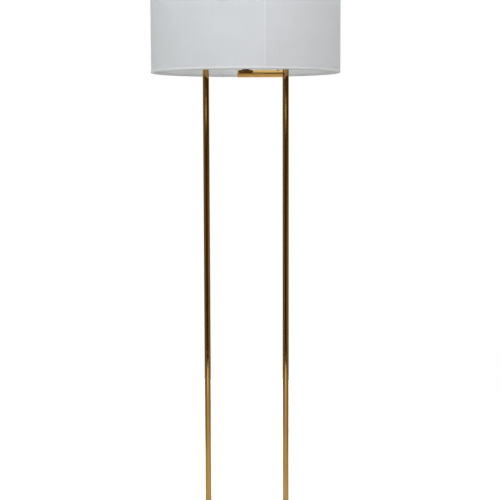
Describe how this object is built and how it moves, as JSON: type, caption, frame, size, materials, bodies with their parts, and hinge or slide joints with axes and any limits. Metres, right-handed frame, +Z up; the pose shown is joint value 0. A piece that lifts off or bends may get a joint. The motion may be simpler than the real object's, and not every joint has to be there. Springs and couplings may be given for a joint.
{
  "type": "floor lamp",
  "caption": "Floor lamp with paired upright brass tubes on a round weighted base, a side arm for the lampholder and a cloth drum shade on a spider.",
  "frame": {"origin": "on the floor, at the centre of the base", "axes": "+Z up along the lamp's axis, the posts side by side along X with the socket arm's post on +X, the front towards -Y and the cord inlet at the back, +Y"},
  "size_m": [0.4811, 0.4812, 1.52],
  "materials": {
    "brass": "polished, clear lacquered",
    "shade_cloth": "off-white woven cloth",
    "shade_liner": "translucent white sheet",
    "trim_tape": "off-white folded tape",
    "wire": "white painted wire",
    "iron": "rough cast, black dipped",
    "zinc_steel": "zinc plated",
    "plate_steel": "black powder coat",
    "black_screw": "black oxide",
    "rubber": "matt black",
    "bushing": "black nylon",
    "block": "white moulded",
    "phenolic": "black moulded",
    "switch_insert": "unglazed white",
    "nickel": "nickel plated",
    "lamp_white": "white moulded",
    "opal_glass": "opal, etched",
    "lead_sleeve": "sleeved lead"
  },
  "bodies": {
    "frame": {"base_cover": "brass", "base_weight": "iron", "base_plate": "plate_steel", "base_plate_screws": "black_screw", "rubber_feet": "rubber", "cord_bushing": "bushing", "terminal_block": "block", "base_nipples": "zinc_steel", "base_washers": "zinc_steel", "base_nuts": "zinc_steel", "left_post": "brass", "right_post": "brass", "left_post_insert": "zinc_steel", "right_post_insert": "zinc_steel", "left_post_collar": "brass", "right_post_collar": "brass", "left_post_cap": "brass", "right_post_cap": "brass", "crossbar": "brass", "crossbar_plugs": "zinc_steel", "crossbar_screws": "black_screw", "stud_seat": "brass", "shade_stud": "zinc_steel", "stud_nut": "brass", "socket_arm": "brass", "arm_end_cap": "brass", "arm_spigot": "zinc_steel", "arm_screw": "black_screw", "holder_saddle": "brass", "holder_nipple": "zinc_steel", "holder_cap": "phenolic", "holder_body": "phenolic", "holder_insert": "switch_insert", "terminal_screws": "brass", "screw_shell": "brass", "centre_tongue": "brass", "internal_lead": "lead_sleeve"},
    "shade": {"shade_fabric": "shade_cloth", "shade_liner": "shade_liner", "lower_trim": "trim_tape", "upper_trim": "trim_tape", "lower_ring": "wire", "upper_ring": "wire", "spider_arms": "wire", "spider_washer": "wire"},
    "finial": {"finial": "brass"},
    "switch": {"switch_shaft": "zinc_steel", "switch_knob": "phenolic"},
    "bulb": {"bulb_contact": "nickel", "bulb_cap": "nickel", "bulb_collar": "lamp_white", "bulb_glass": "opal_glass"}
  },
  "joints": [
    {"name": "shade_turn", "type": "hinge", "parent": "frame", "child": "shade", "pos_m": [0, 0, 1.488], "axis": [0, 0, 1], "continuous": true},
    {"name": "finial_turn", "type": "hinge", "parent": "frame", "child": "finial", "pos_m": [0, 0, 1.49], "axis": [0, 0, 1], "continuous": true},
    {"name": "switch_turn", "type": "hinge", "parent": "frame", "child": "switch", "pos_m": [0, -0.02, 1.281], "axis": [0, -1, 0], "continuous": true},
    {"name": "bulb_turn", "type": "hinge", "parent": "frame", "child": "bulb", "pos_m": [0, 0, 1.29], "axis": [0, 0, 1], "continuous": true}
  ]
}
